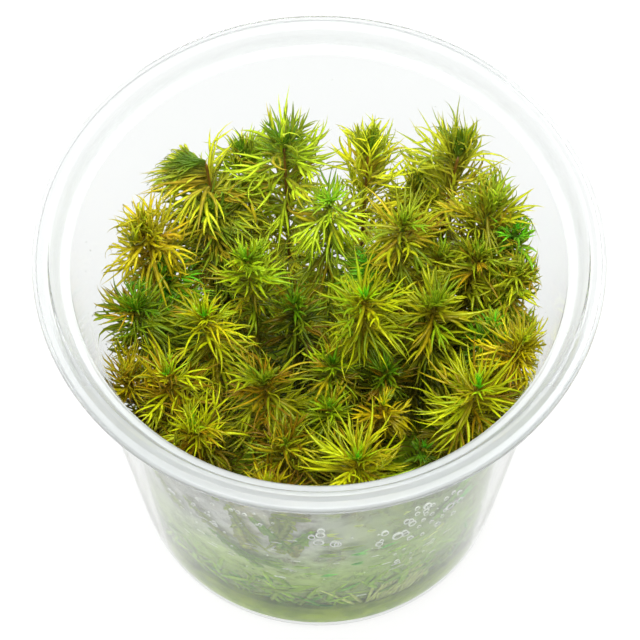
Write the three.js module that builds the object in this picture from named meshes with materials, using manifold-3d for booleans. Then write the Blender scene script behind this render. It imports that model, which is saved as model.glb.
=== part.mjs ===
// A clear plastic culture cup, open at the top, with nutrient gel and leafy milfoil shoots rooted in it.
// Millimetres, +Z up, origin at the centre of the cup's underside, -Y towards the viewer.
import * as THREE from "three";
import { mergeVertices } from "three/addons/utils/BufferGeometryUtils.js";
import Module from "manifold-3d";

const wasm = await Module();
wasm.setup();

// Cup sizes
const cupHeight = 89.1;
const rimRadius = 50;
const baseRadius = 36.9; // where the line of the outer wall would meet the table
const wallTopRadius = 44.4;
const wallTopDrop = 4.6; // the tapered wall ends this far below the top
const cornerRadius = 4.7;
const wall = 0.8;
const roundSides = 40;
const cornerSteps = 3;

// Gel and stems
const gap = 0.3; // clearance between pieces that touch
const gelDepth = 12; // height of the gel's surface above the table
const gelSides = 28;
const rootDepth = 6;
const stemRadius = 0.45;
const hubRadius = 0.72; // at a whorl, where two leaf bases meet
const budHeight = 1.6;
const stemStretches = 4; // straight stretches that a stem counts as when leaves look for room
const footPull = 0.86; // a stem's foot stands this share of its head's distance from the cup's axis
const bareStem = 0.45; // share of the stem, from the foot up, that has no leaves

// Leaves
const leavesPerWhorl = 5;
const columnsPerLeaf = 4; // columns of points of a turned stem: three for the leaf, one between two leaves
const columns = columnsPerLeaf * leavesPerWhorl;
const leafHalfWidth = 0.62; // at its widest
const leafHalfThickness = 0.26; // at its base
const widestAt = 0.4; // share of a leaf's length
const channel = 0.35; // how far the edges stand above the midline at the widest place
const leafMargin = 0.05;
const samplesPerLeaf = 14;
const steepest = 78; // degrees
const bareShare = 0.3; // leaves of one shoot may lie together along this share of their length
const farEnough = 1; // a leaf's point this much beyond another's length cannot touch it
const shortest = 0.86; // the shortest leaf of a whorl, as a share of its reach
const lengthSpread = 0.22; // how much longer than that the others may be
const riseSpread = 18; // degrees, over which the leaves of a whorl differ
const azimuthSpread = 0.3; // radians

// Whorls from the tip of a shoot down: distance below the head, share of the longest leaf, rise in degrees
const whorls = [
  { below: 0.9, reach: 0.62, rise: 62 },
  { below: 2.5, reach: 0.9, rise: 40 },
  { below: 4.4, reach: 1.0, rise: 20 },
  { below: 7.2, reach: 1.0, rise: 2 },
  { below: 11.5, reach: 0.95, rise: -8 },
];

// What a leaf tries in turn until it has room: share of its length, turn and extra rise in degrees
const tries = [
  { share: 1.0, turn: 0, rise: 0 },
  { share: 1.0, turn: 10, rise: 8 },
  { share: 1.0, turn: -10, rise: -8 },
  { share: 0.92, turn: 18, rise: 16 },
  { share: 0.85, turn: -18, rise: 18 },
  { share: 0.75, turn: 6, rise: -16 },
  { share: 0.65, turn: -20, rise: 28 },
  { share: 0.5, turn: 20, rise: 34 },
];

const tints = {
  yellow: 0x9ba312,
  olive: 0x7c8519,
  green: 0x5c9420,
  bright: 0x2fae2c,
  dark: 0x3d5a1c,
  rust: 0x9a6a1c,
};

// Shoots: place of the head, longest leaf, extra rise of the leaves in degrees, whorls it carries, tint
const shoots = [
  { name: "middle_shoot_1", head: [8.3, -0.3, 71], leaf: 12, lift: 4, whorls: 4, tint: "yellow" },
  { name: "middle_shoot_2", head: [-21, -2, 67], leaf: 11.5, lift: 6, whorls: 4, tint: "yellow" },
  { name: "middle_shoot_3", head: [21.3, 0.7, 67], leaf: 11, lift: 2, whorls: 3, tint: "olive" },
  { name: "middle_shoot_4", head: [-13.3, 10.4, 67], leaf: 9.5, lift: 10, whorls: 3, tint: "green" },
  { name: "middle_shoot_5", head: [-34, 1, 65], leaf: 9, lift: 10, whorls: 3, tint: "dark" },
  { name: "middle_shoot_6", head: [29.6, 10.3, 68], leaf: 10, lift: 8, whorls: 3, tint: "olive" },
  { name: "middle_shoot_7", head: [32.4, -1, 63], leaf: 6.5, lift: 14, whorls: 2, tint: "bright" },
  { name: "middle_shoot_8", head: [-4.7, 6.1, 58], leaf: 9, lift: 6, whorls: 3, tint: "dark" },
  { name: "middle_shoot_9", head: [10, 14.2, 59], leaf: 7.5, lift: 10, whorls: 2, tint: "bright" },
  { name: "middle_shoot_10", head: [22.6, 13.4, 63], leaf: 9.5, lift: 8, whorls: 2, tint: "olive" },
  { name: "middle_shoot_11", head: [37, 8, 65], leaf: 8, lift: 24, whorls: 2, tint: "olive" },
  { name: "middle_shoot_12", head: [-30, 11.5, 59], leaf: 7.5, lift: 14, whorls: 2, tint: "bright" },
  { name: "front_shoot_1", head: [28.7, -16, 66], leaf: 14, lift: 2, whorls: 5, tint: "yellow" },
  { name: "front_shoot_2", head: [7, -28, 61], leaf: 13, lift: 6, whorls: 4, tint: "yellow" },
  { name: "front_shoot_3", head: [-10, -13.8, 64], leaf: 12, lift: 8, whorls: 4, tint: "olive" },
  { name: "front_shoot_4", head: [-27.6, -12, 63], leaf: 11.5, lift: 10, whorls: 3, tint: "yellow" },
  { name: "front_shoot_5", head: [36.8, -7.2, 66], leaf: 9, lift: 26, whorls: 3, tint: "rust" },
  { name: "front_shoot_6", head: [-6.2, -24, 59], leaf: 11, lift: 12, whorls: 3, tint: "olive" },
  { name: "front_shoot_7", head: [-23, -20.5, 59], leaf: 10, lift: 18, whorls: 3, tint: "yellow" },
  { name: "front_shoot_8", head: [2.6, -6.5, 58], leaf: 8.5, lift: 8, whorls: 3, tint: "green" },
  { name: "front_shoot_9", head: [12.7, -7.3, 57], leaf: 8, lift: 10, whorls: 2, tint: "dark" },
  { name: "front_shoot_10", head: [2, -14.3, 55], leaf: 7.5, lift: 12, whorls: 2, tint: "green" },
  { name: "front_shoot_11", head: [11.9, -15.5, 58], leaf: 7.5, lift: 16, whorls: 2, tint: "rust" },
  { name: "front_shoot_12", head: [-9.5, -31, 54], leaf: 9, lift: 14, whorls: 2, tint: "rust" },
  { name: "front_shoot_13", head: [-35.5, -10.5, 59], leaf: 8.5, lift: 24, whorls: 2, tint: "rust" },
  { name: "front_shoot_14", head: [19.6, -19, 50], leaf: 8.5, lift: 10, whorls: 2, tint: "bright" },
  { name: "front_shoot_15", head: [37.5, 1.5, 56], leaf: 7, lift: 20, whorls: 2, tint: "green" },
  { name: "back_shoot_1", head: [-21, 26, 76], leaf: 11, lift: -4, whorls: 4, tint: "olive" },
  { name: "back_shoot_2", head: [-13.9, 30.2, 71], leaf: 8.5, lift: 12, whorls: 2, tint: "green" },
  { name: "back_shoot_3", head: [-6.5, 27.6, 79], leaf: 12, lift: -4, whorls: 5, tint: "green" },
  { name: "back_shoot_4", head: [9.2, 28.5, 75], leaf: 12, lift: 16, whorls: 4, tint: "yellow" },
  { name: "back_shoot_5", head: [25.5, 25.2, 79], leaf: 11.5, lift: 8, whorls: 5, tint: "olive" },
  { name: "back_shoot_6", head: [31.2, 16.8, 74], leaf: 11, lift: 8, whorls: 3, tint: "olive" },
  { name: "back_shoot_7", head: [36.3, 13.6, 72], leaf: 6.5, lift: 10, whorls: 2, tint: "bright" },
  { name: "back_shoot_8", head: [2, 19.9, 72], leaf: 11, lift: -22, whorls: 3, tint: "green" },
  { name: "back_shoot_9", head: [15.5, 14.5, 73], leaf: 11.5, lift: 0, whorls: 3, tint: "olive" },
  { name: "back_shoot_10", head: [-32.5, 14.5, 71], leaf: 9, lift: 8, whorls: 3, tint: "rust" },
  { name: "back_shoot_11", head: [-20.8, 21, 66], leaf: 9, lift: 4, whorls: 2, tint: "dark" },
  { name: "back_shoot_12", head: [18.7, 27.3, 65], leaf: 9, lift: 10, whorls: 3, tint: "yellow" },
];

// A repeatable stream of numbers from 0 to 1
const modulus = 2147483647;
const multiplier = 16807;
let seed = 20129;
function random() {
  seed = (seed * multiplier) % modulus;
  return seed / modulus;
}

// A closed three.js geometry as a solid: positions only, vertices merged, collapsed triangles dropped
function solidOf(geometry) {
  const bare = geometry.clone();
  bare.deleteAttribute("normal");
  bare.deleteAttribute("uv");
  const merged = mergeVertices(bare, 1e-4);
  const kept = [];
  for (let i = 0; i < merged.index.count; i += 3) {
    const [a, b, c] = merged.index.array.slice(i, i + 3);
    if (a !== b && b !== c && c !== a) kept.push(a, b, c);
  }
  const vertProperties = merged.attributes.position.array;
  const triVerts = new Uint32Array(kept);
  return new wasm.Manifold(new wasm.Mesh({ numProp: 3, vertProperties, triVerts }));
}

// A solid back as a three.js geometry
function geometryOf(solid) {
  const mesh = solid.getMesh();
  const geometry = new THREE.BufferGeometry();
  geometry.setAttribute("position", new THREE.BufferAttribute(mesh.vertProperties, 3));
  geometry.setIndex(new THREE.BufferAttribute(mesh.triVerts, 1));
  geometry.computeVertexNormals();
  return geometry;
}

const wallSlope = (wallTopRadius - baseRadius) / (cupHeight - wallTopDrop);
const wallLean = Math.atan(wallSlope);

// Radius of the wall's surface at a height, set in from the outer skin
function skinRadius(inset, z) {
  return baseRadius + wallSlope * z - inset / Math.cos(wallLean);
}

// Profile of the cup's skin, set in by a thickness: flat floor, round corner, tapered wall up to a height
function skinProfile(inset, top) {
  const centreRadius = skinRadius(cornerRadius, cornerRadius);
  const radius = cornerRadius - inset;
  const points = [new THREE.Vector2(0, inset)];
  for (let i = 0; i <= cornerSteps; i++) {
    const angle = -Math.PI / 2 + ((Math.PI / 2 - wallLean) * i) / cornerSteps;
    const r = centreRadius + radius * Math.cos(angle);
    points.push(new THREE.Vector2(r, cornerRadius + radius * Math.sin(angle)));
  }
  points.push(new THREE.Vector2(skinRadius(inset, top), top));
  return points;
}

// Rim, as [radius, drop below the top]: ledge, collar, turned-down edge, flat rim, ridge, collar inside
function rimProfile() {
  const outline = [
    [45.9, 4.4],
    [47.3, 1.3],
    [49.2, 1.25],
    [49.3, 2.0],
    [rimRadius, 2.0],
    [rimRadius, 0.95],
    [49.6, 0.5],
    [48.4, 0.6],
    [47.6, 0],
    [46.9, 0],
    [45.2, 3.5],
    [44.3, 3.75],
  ];
  return outline.map(([r, drop]) => new THREE.Vector2(r, cupHeight - drop));
}

// A profile of radius and height turned round the upright axis
function turned(profile, sides) {
  return new THREE.LatheGeometry(profile, sides).rotateX(Math.PI / 2);
}

function cupSolid() {
  const outside = skinProfile(0, cupHeight - wallTopDrop);
  const inside = skinProfile(wall, cupHeight - wallTopDrop);
  return solidOf(turned([...outside, ...rimProfile(), ...inside.reverse()], roundSides));
}

// Where a shoot's stem starts, down in the gel
function footOf(shoot) {
  const [x, y] = shoot.head;
  return new THREE.Vector3(x * footPull, y * footPull, gelDepth - rootDepth);
}

// The line of a shoot's stem: straight up out of the gel, then leaning out to the head
function stemCurve(shoot) {
  const foot = footOf(shoot);
  const head = new THREE.Vector3(...shoot.head);
  const bend = new THREE.Vector3(foot.x, foot.y, (foot.z + head.z) / 2);
  return new THREE.QuadraticBezierCurve3(foot, bend, head);
}

// The gel follows the cup's inside and has a socket for the foot of every stem
function gelSolid() {
  const profile = skinProfile(wall + gap, gelDepth);
  profile.push(new THREE.Vector2(0, gelDepth));
  let gel = solidOf(turned(profile, gelSides));
  const corner = (stemRadius + gap) * Math.SQRT2;
  const depth = rootDepth + gap;
  for (const shoot of shoots) {
    const foot = footOf(shoot);
    const socket = new THREE.CylinderGeometry(corner, corner, 2 * depth, 4, 1);
    socket.rotateX(Math.PI / 2).rotateZ(Math.PI / 4).translate(foot.x, foot.y, gelDepth);
    gel = gel.subtract(solidOf(socket));
  }
  return gel;
}

// Every stretch of stem and leaf that stands already, with the half-width at its two ends
const standing = [];
function claim(owner, from, to, startHalf, endHalf) {
  const line = new THREE.Line3(from, to);
  standing.push({ owner, line, startHalf, endHalf, length: line.distance() });
}

// True when a point of a leaf, with its half-width there, is clear of the wall, the gel and all that stands
const nearest = new THREE.Vector3();
function pointIsClear(owner, point, half, nearStem) {
  const room = half + gap;
  if (Math.hypot(point.x, point.y) + room > skinRadius(wall, point.z)) return false;
  if (point.z - room < gelDepth || point.z + room > cupHeight) return false;
  for (const other of standing) {
    if (nearStem && other.owner === owner) continue;
    if (point.distanceTo(other.line.start) > other.length + farEnough) continue;
    const share = other.line.closestPointToPointParameter(point, true);
    other.line.at(share, nearest);
    const otherHalf = THREE.MathUtils.lerp(other.startHalf, other.endHalf, share);
    if (point.distanceTo(nearest) < half + otherHalf + leafMargin) return false;
  }
  return true;
}

function leafIsClear(owner, root, tip) {
  for (let i = 1; i <= samplesPerLeaf; i++) {
    const share = i / samplesPerLeaf;
    const point = root.clone().lerp(tip, share);
    const half = leafHalfWidth * Math.min(1, (1 - share) / (1 - widestAt));
    if (!pointIsClear(owner, point, half, share < bareShare)) return false;
  }
  return true;
}

// Where a leaf's tip comes to lie, moved or shortened until it has room, or null when it finds none
function leafTip(shoot, root, azimuth, rise, length) {
  for (const attempt of tries) {
    const turn = azimuth + THREE.MathUtils.degToRad(attempt.turn);
    const lift = THREE.MathUtils.degToRad(Math.min(rise + attempt.rise, steepest));
    const reach = length * attempt.share;
    const flat = reach * Math.cos(lift);
    const tip = new THREE.Vector3(flat * Math.cos(turn), flat * Math.sin(turn), reach * Math.sin(lift));
    tip.add(root);
    if (!leafIsClear(shoot.name, root, tip)) continue;
    const widest = root.clone().lerp(tip, widestAt);
    claim(shoot.name, root, widest, leafHalfWidth, leafHalfWidth);
    claim(shoot.name, widest, tip, leafHalfWidth, 0);
    return tip;
  }
  return null;
}

// The azimuth of a column of points of a shoot's turned stem
function columnAzimuth(shoot, column) {
  return shoot.phase + (Math.PI * 2 * column) / columns;
}

// One whorl of leaves, which stands between the leaves of the next
function growWhorl(shoot, index) {
  const { below, reach, rise } = whorls[index];
  const curve = stemCurve(shoot);
  const centre = curve.getPointAt(1 - below / curve.getLength());
  const tips = new Map();
  const firstColumn = (index % 2) * (columnsPerLeaf / 2);
  for (let column = firstColumn; column < columns; column += columnsPerLeaf) {
    const azimuth = columnAzimuth(shoot, column) + azimuthSpread * (random() - 0.5);
    const leafRise = rise + shoot.lift + riseSpread * (random() - 0.5);
    const length = shoot.leaf * reach * (shortest + lengthSpread * random());
    tips.set(column, leafTip(shoot, centre, azimuth, leafRise, length));
  }
  return { centre, tips };
}

// The rings of a shoot from its foot up: two of bare stem, three at every whorl
function ringsOf(shoot) {
  const curve = stemCurve(shoot);
  const rings = [
    { centre: curve.getPointAt(0), bare: true },
    { centre: curve.getPointAt(bareStem), bare: true },
  ];
  for (const whorl of [...shoot.grown].reverse()) {
    for (const step of [-1, 0, 1]) rings.push({ centre: whorl.centre, tips: whorl.tips, step });
  }
  return rings;
}

// A point round the stem: on a column, at a radius and a height above the ring's centre
function pointRound(shoot, ring, column, radius, above) {
  const azimuth = columnAzimuth(shoot, column);
  return new THREE.Vector3(radius * Math.cos(azimuth), radius * Math.sin(azimuth), above).add(ring.centre);
}

// The edge of a leaf at its widest place, to the left (-1) or the right (1) of its midline
function edgePoint(root, tip, hand) {
  const along = tip.clone().sub(root).normalize();
  const side = new THREE.Vector3(-along.y, along.x, 0).normalize();
  const face = new THREE.Vector3().crossVectors(along, side);
  const midline = root.clone().lerp(tip, widestAt);
  return midline.addScaledVector(side, hand * leafHalfWidth).addScaledVector(face, channel);
}

// The place of one point of a shoot's turned stem
function pointOf(shoot, ring, column) {
  if (ring.bare) return pointRound(shoot, ring, column - (column % columnsPerLeaf), stemRadius, 0);
  for (const hand of [0, -1, 1]) {
    const leaf = (column - hand + columns) % columns;
    if (!ring.tips.has(leaf)) continue;
    if (ring.step !== 0) return pointRound(shoot, ring, leaf, stemRadius, ring.step * leafHalfThickness);
    const tip = ring.tips.get(leaf);
    if (!tip) return pointRound(shoot, ring, column, hubRadius, 0);
    return hand === 0 ? tip : edgePoint(ring.centre, tip, hand);
  }
  return pointRound(shoot, ring, column, hubRadius, 0);
}

// A shoot in one piece: a turned stem whose whorls of points are drawn out to the tips of the leaves
function shootSolid(shoot) {
  const rings = ringsOf(shoot);
  const foot = rings[0].centre;
  const top = rings[rings.length - 1].centre.clone();
  top.z += budHeight;
  const profile = [new THREE.Vector2(0, 0), ...rings.map((ring, i) => new THREE.Vector2(1, i + 1))];
  profile.push(new THREE.Vector2(0, rings.length + 1));
  const body = turned(profile, columns);
  const position = body.attributes.position;
  for (let i = 0; i < position.count; i++) {
    const column = Math.floor(i / profile.length) % columns;
    const row = i % profile.length;
    let place = pointOf(shoot, rings[THREE.MathUtils.clamp(row, 1, rings.length) - 1], column);
    if (row === 0) place = foot;
    if (row > rings.length) place = top;
    position.setXYZ(i, place.x, place.y, place.z);
  }
  return solidOf(body);
}

function material(color, roughness, extra = {}) {
  return new THREE.MeshStandardMaterial({ color, roughness, metalness: 0, ...extra });
}

const plant = new THREE.Group();

const clearPlastic = material(0xeef2f2, 0.18, { transparent: true, opacity: 0.3 });
const cup = new THREE.Mesh(geometryOf(cupSolid()), clearPlastic);
cup.name = "cup";
plant.add(cup);

const paleGel = material(0xd3d9b0, 0.25, { transparent: true, opacity: 0.6 });
const gel = new THREE.Mesh(geometryOf(gelSolid()), paleGel);
gel.name = "gel";
plant.add(gel);

// All stems stand before any leaf looks for room, and the upper whorls of all shoots come before the lower
for (const shoot of shoots) {
  shoot.phase = random() * 2 * Math.PI;
  shoot.grown = [];
  const points = stemCurve(shoot).getPoints(stemStretches);
  for (let i = 0; i < stemStretches; i++) {
    claim(shoot.name, points[i], points[i + 1], stemRadius, stemRadius);
  }
}
for (let index = 0; index < whorls.length; index++) {
  for (const shoot of shoots) {
    if (shoot.whorls > index) shoot.grown.push(growWhorl(shoot, index));
  }
}

for (const shoot of shoots) {
  const foot = footOf(shoot);
  const geometry = geometryOf(shootSolid(shoot)).translate(-foot.x, -foot.y, -foot.z);
  const mesh = new THREE.Mesh(geometry, material(tints[shoot.tint], 0.4));
  mesh.name = shoot.name;
  mesh.position.copy(foot);
  plant.add(mesh);
}

export default plant;
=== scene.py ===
import math

import bmesh
import bpy
import numpy as np
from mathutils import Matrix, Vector


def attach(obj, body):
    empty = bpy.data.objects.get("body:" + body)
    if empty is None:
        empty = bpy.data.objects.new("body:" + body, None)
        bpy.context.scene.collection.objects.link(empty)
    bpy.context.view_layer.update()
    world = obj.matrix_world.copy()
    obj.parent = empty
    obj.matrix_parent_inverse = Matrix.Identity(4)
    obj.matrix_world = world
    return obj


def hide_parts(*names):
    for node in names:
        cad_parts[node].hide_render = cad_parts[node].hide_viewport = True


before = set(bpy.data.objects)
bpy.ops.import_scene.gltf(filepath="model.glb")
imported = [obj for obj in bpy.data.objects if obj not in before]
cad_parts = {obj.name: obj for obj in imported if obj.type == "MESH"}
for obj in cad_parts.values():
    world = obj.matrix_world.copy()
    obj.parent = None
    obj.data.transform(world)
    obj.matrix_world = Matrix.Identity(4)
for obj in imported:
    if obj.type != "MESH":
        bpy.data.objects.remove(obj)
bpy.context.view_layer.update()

mm = 0.001
luck = np.random.default_rng(2917)      # every leaf and drop is drawn from this one stream

# The camera looks down into the cup from the front
cameraSetup = {
    "place": (0.0, -199.5, 426.2),      # mm
    "pitch": 61.27,                     # degrees below the horizontal
    "lens": 126.7,
    "shift": 0.0013,
}

lightSetup = {
    "horizon": 0.75,                    # brightness of the room low down and overhead
    "overhead": 0.45,
    "key": {"place": (-0.08, -0.12, 0.95), "size": 0.60, "power": 11.0},
    "fill": {"place": (0.25, 0.30, 0.85), "size": 0.60, "power": 4.4},
    "floor": 0.12,
    "floorGlow": 0.88,                  # the table is lit from below as well
}


def addCamera():
    data = bpy.data.cameras.new("camera")
    data.lens = cameraSetup["lens"]
    data.sensor_width = 36
    data.shift_x = cameraSetup["shift"]
    camera = bpy.data.objects.new("camera", data)
    camera.location = Vector(cameraSetup["place"]) * mm
    camera.rotation_euler = (math.radians(90 - cameraSetup["pitch"]), 0, 0)
    bpy.context.collection.objects.link(camera)
    bpy.context.scene.camera = camera


def addAreaLight(name, setup):
    data = bpy.data.lights.new(name, "AREA")
    data.shape = "DISK"
    data.size = setup["size"]
    data.energy = setup["power"]
    light = bpy.data.objects.new(name, data)
    light.location = setup["place"]
    aim = Vector((0, 0, 0.05)) - light.location
    light.rotation_euler = aim.to_track_quat("-Z", "Y").to_euler()
    bpy.context.collection.objects.link(light)


def addStage():
    world = bpy.data.worlds.new("studio")
    world.use_nodes = True
    tree = world.node_tree
    look = tree.nodes.new("ShaderNodeTexCoord")
    height = tree.nodes.new("ShaderNodeSeparateXYZ")
    tree.links.new(look.outputs["Generated"], height.inputs["Vector"])
    low, high = lightSetup["horizon"], lightSetup["overhead"]
    glow = rampOf(tree, height.outputs["Z"], [(0.0, (low, low, low)), (0.7, (high, high, high))])
    tree.links.new(glow, tree.nodes["Background"].inputs["Color"])
    bpy.context.scene.world = world
    addAreaLight("keyLight", lightSetup["key"])
    addAreaLight("fillLight", lightSetup["fill"])
    shape = bmesh.new()
    bmesh.ops.create_grid(shape, x_segments=1, y_segments=1, size=2.0)
    floor = objectOf("floor", shape)
    floor.location.z = -0.0002
    pale = lightSetup["floor"]
    paint = plainMaterial("paleFloor", (pale, pale, pale, 1), 0.9)
    shaderOf(paint).inputs["Emission Color"].default_value = (1, 1, 1, 1)
    shaderOf(paint).inputs["Emission Strength"].default_value = lightSetup["floorGlow"]
    floor.data.materials.append(paint)
    bpy.context.scene.view_settings.view_transform = "Standard"


def objectOf(name, shape):
    mesh = bpy.data.meshes.new(name)
    shape.to_mesh(mesh)
    shape.free()
    piece = bpy.data.objects.new(name, mesh)
    bpy.context.collection.objects.link(piece)
    return piece


def shaderOf(material):
    material.use_nodes = True
    return material.node_tree.nodes["Principled BSDF"]


def plainMaterial(name, colour, roughness):
    material = bpy.data.materials.new(name)
    shader = shaderOf(material)
    shader.inputs["Base Color"].default_value = colour
    shader.inputs["Roughness"].default_value = roughness
    return material


# Small helpers for node trees
def addNode(tree, kind, **settings):
    node = tree.nodes.new(kind)
    for key, value in settings.items():
        if key in node.inputs:
            node.inputs[key].default_value = value
        else:
            setattr(node, key, value)
    return node


def mixColours(tree, amount, first, second, blend="MIX"):
    node = tree.nodes.new("ShaderNodeMix")
    node.data_type = "RGBA"
    node.blend_type = blend
    for socket, value in ((node.inputs[0], amount), (node.inputs[6], first), (node.inputs[7], second)):
        if isinstance(value, bpy.types.NodeSocket):
            tree.links.new(value, socket)
        elif isinstance(value, (int, float)):
            socket.default_value = value
        else:
            socket.default_value = (*value, 1) if len(value) == 3 else value
    return node.outputs[2]


def rampOf(tree, source, stops):
    node = tree.nodes.new("ShaderNodeValToRGB")
    elements = node.color_ramp.elements
    while len(elements) < len(stops):
        elements.new(0.5)
    for element, (position, colour) in zip(elements, stops):
        element.position = position
        element.color = (*colour, 1) if len(colour) == 3 else colour
    tree.links.new(source, node.inputs["Fac"])
    return node.outputs["Color"]


def remap(tree, source, low, high, toLow=0.0, toHigh=1.0):
    node = tree.nodes.new("ShaderNodeMapRange")
    node.inputs["From Min"].default_value = low
    node.inputs["From Max"].default_value = high
    node.inputs["To Min"].default_value = toLow
    node.inputs["To Max"].default_value = toHigh
    tree.links.new(source, node.inputs["Value"])
    return node.outputs["Result"]


def combined(tree, first, second, operation="MULTIPLY"):
    node = addNode(tree, "ShaderNodeMath", operation=operation)
    tree.links.new(first, node.inputs[0])
    tree.links.new(second, node.inputs[1])
    return node.outputs["Value"]


def objectPlace(tree):
    place = addNode(tree, "ShaderNodeTexCoord").outputs["Object"]
    axes = addNode(tree, "ShaderNodeSeparateXYZ")
    tree.links.new(place, axes.inputs["Vector"])
    return place, axes.outputs


def noiseOf(tree, place, scale, detail, roughness=0.5):
    noise = addNode(tree, "ShaderNodeTexNoise", Scale=scale, Detail=detail, Roughness=roughness)
    tree.links.new(place, noise.inputs["Vector"])
    return noise.outputs["Fac"]


def addBump(tree, shader, height, strength, distance):
    bump = addNode(tree, "ShaderNodeBump", Strength=strength, Distance=distance)
    tree.links.new(height, bump.inputs["Height"])
    tree.links.new(bump.outputs["Normal"], shader.inputs["Normal"])


# The cup, in mm. The wall is the line from the base radius on the table to the wall's top
cupShape = {
    "height": 89.1,
    "baseRadius": 36.9,
    "wallTopRadius": 44.4,
    "wallTopDrop": 4.6,
    "corner": 4.7,
    "cornerSteps": 9,
    "wall": 0.8,
    "steps": 192,
    "edge": 0.14,                       # radius of the moulded edges of the rim
    # radius and drop below the top: ledge, collar, turned-down edge, flat rim, ridge, collar inside
    "rim": [(45.9, 4.4), (47.3, 1.3), (49.2, 1.25), (49.3, 2.0), (50.0, 2.0), (50.0, 0.95), (49.6, 0.5),
            (48.4, 0.6), (47.6, 0.0), (46.9, 0.0), (45.2, 3.5), (44.3, 3.75)],
}
wallTop = cupShape["height"] - cupShape["wallTopDrop"]
wallSlope = (cupShape["wallTopRadius"] - cupShape["baseRadius"]) / wallTop
wallLean = math.atan(wallSlope)


def wallRadius(inset, z):
    return cupShape["baseRadius"] + wallSlope * z - inset / math.cos(wallLean)


def skinProfile(inset, top):
    corner = cupShape["corner"]
    centre = wallRadius(corner, corner)
    points = [(0.0, inset)]
    for i in range(cupShape["cornerSteps"] + 1):
        angle = -math.pi / 2 + (math.pi / 2 - wallLean) * i / cupShape["cornerSteps"]
        points.append((centre + (corner - inset) * math.cos(angle),
                       corner + (corner - inset) * math.sin(angle)))
    points.append((wallRadius(inset, top), top))
    return points


def spun(name, profile, steps, sharpEdge=0.0):
    shape = bmesh.new()
    verts = [shape.verts.new((r * mm, 0, z * mm)) for r, z in profile]
    edges = [shape.edges.new(pair) for pair in zip(verts, verts[1:])]
    bmesh.ops.spin(shape, geom=verts + edges, cent=(0, 0, 0), axis=(0, 0, 1), angle=2 * math.pi,
                   steps=steps, use_merge=True)
    bmesh.ops.remove_doubles(shape, verts=shape.verts, dist=1e-7)
    bmesh.ops.recalc_face_normals(shape, faces=shape.faces)
    if sharpEdge:
        limit = math.radians(24)
        sharp = [e for e in shape.edges if len(e.link_faces) == 2 and e.calc_face_angle() > limit]
        bmesh.ops.bevel(shape, geom=sharp, offset=sharpEdge * mm, offset_type="OFFSET", affect="EDGES",
                        segments=2, profile=0.5, material=-1)
    for face in shape.faces:
        face.smooth = True
    return objectOf(name, shape)


def plasticMaterial(name, colour, ior, roughness, waviness):
    material = bpy.data.materials.new(name)
    shader = shaderOf(material)
    shader.inputs["Base Color"].default_value = colour
    shader.inputs["IOR"].default_value = ior
    shader.inputs["Roughness"].default_value = roughness
    tree = material.node_tree
    place, axes = objectPlace(tree)
    addBump(tree, shader, noiseOf(tree, place, 55.0, 2.0), waviness, 0.0004)
    return material, axes


def wallPlasticMaterial():
    material, axes = plasticMaterial("clearWall", colour=(0.85, 0.865, 0.86, 1), ior=1.07, roughness=0.04,
                                     waviness=0.05)
    tree = material.node_tree
    left = remap(tree, axes["X"], -0.016, -0.034)
    front = remap(tree, axes["Y"], 0.0, -0.012)
    damp = remap(tree, combined(tree, left, front), 0.0, 1.0, 0.99, 0.93)       # damp on the front left
    tree.links.new(damp, shaderOf(material).inputs["Transmission Weight"])
    return material


# The plastic of the rim is thicker and looks milky at the front, most of all on the ledge under the collar.
# At the front its colour is also painted a darker grey, as painted shade
def rimPlasticMaterial():
    material, axes = plasticMaterial("milkyRim", colour=(0.8, 0.8, 0.8, 1), ior=1.32, roughness=0.1,
                                     waviness=0.0)
    tree = material.node_tree
    shader = shaderOf(material)
    front = remap(tree, axes["Y"], -0.012, -0.036)
    # painted shade: the rim's colour turns a darker grey towards the front
    colour = mixColours(tree, front, (0.81, 0.83, 0.825), (0.61, 0.635, 0.63))
    tree.links.new(colour, shader.inputs["Base Color"])
    clear = mixColours(tree, front, (0.9, 0.9, 0.9), (0.60, 0.60, 0.60))
    ledge = remap(tree, axes["Z"], 0.0870, 0.0860, 1.0, 0.84)
    tree.links.new(combined(tree, clear, ledge), shader.inputs["Transmission Weight"])
    return material


def makeCup():
    rim = [(r, cupShape["height"] - drop) for r, drop in cupShape["rim"]]
    inside = skinProfile(cupShape["wall"], wallTop)
    cup = spun("clearCup", skinProfile(0, wallTop) + rim + inside[::-1], cupShape["steps"], cupShape["edge"])
    cup.data.materials.append(wallPlasticMaterial())
    cup.data.materials.append(rimPlasticMaterial())
    for face in cup.data.polygons:
        face.material_index = int(face.center.z > (wallTop + 0.05) * mm)
    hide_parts("cup")
    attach(cup, "root")
    print("cup made:", len(cup.data.polygons), "faces")


gelShape = {"depth": 12.0, "gap": 0.1, "meniscus": 0.7, "steps": 128}


def gelMaterial():
    material = bpy.data.materials.new("nutrientGel")
    shader = shaderOf(material)
    shader.inputs["Transmission Weight"].default_value = 0.1
    shader.inputs["IOR"].default_value = 1.34
    shader.inputs["Roughness"].default_value = 0.3
    shader.inputs["Specular IOR Level"].default_value = 0.3
    tree = material.node_tree
    place = addNode(tree, "ShaderNodeTexCoord").outputs["Object"]
    cloud = noiseOf(tree, place, 260.0, 6.0)
    colour = rampOf(tree, cloud, [(0.38, (0.29, 0.46, 0.01)), (0.60, (0.47, 0.66, 0.03))])
    tree.links.new(colour, shader.inputs["Base Color"])
    addBump(tree, shader, cloud, 0.2, 0.0004)
    return material


def makeGel():
    depth = gelShape["depth"]
    profile = skinProfile(cupShape["wall"] + gelShape["gap"], depth + gelShape["meniscus"])
    edge = profile[-1][0]
    profile += [(edge - 0.5, depth + 0.25), (edge - 1.5, depth), (0.0, depth)]
    gel = spun("gelBed", profile, gelShape["steps"])
    gel.data.materials.append(gelMaterial())
    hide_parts("gel")
    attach(gel, "root")
    print("gel made:", len(gel.data.polygons), "faces")


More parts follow.
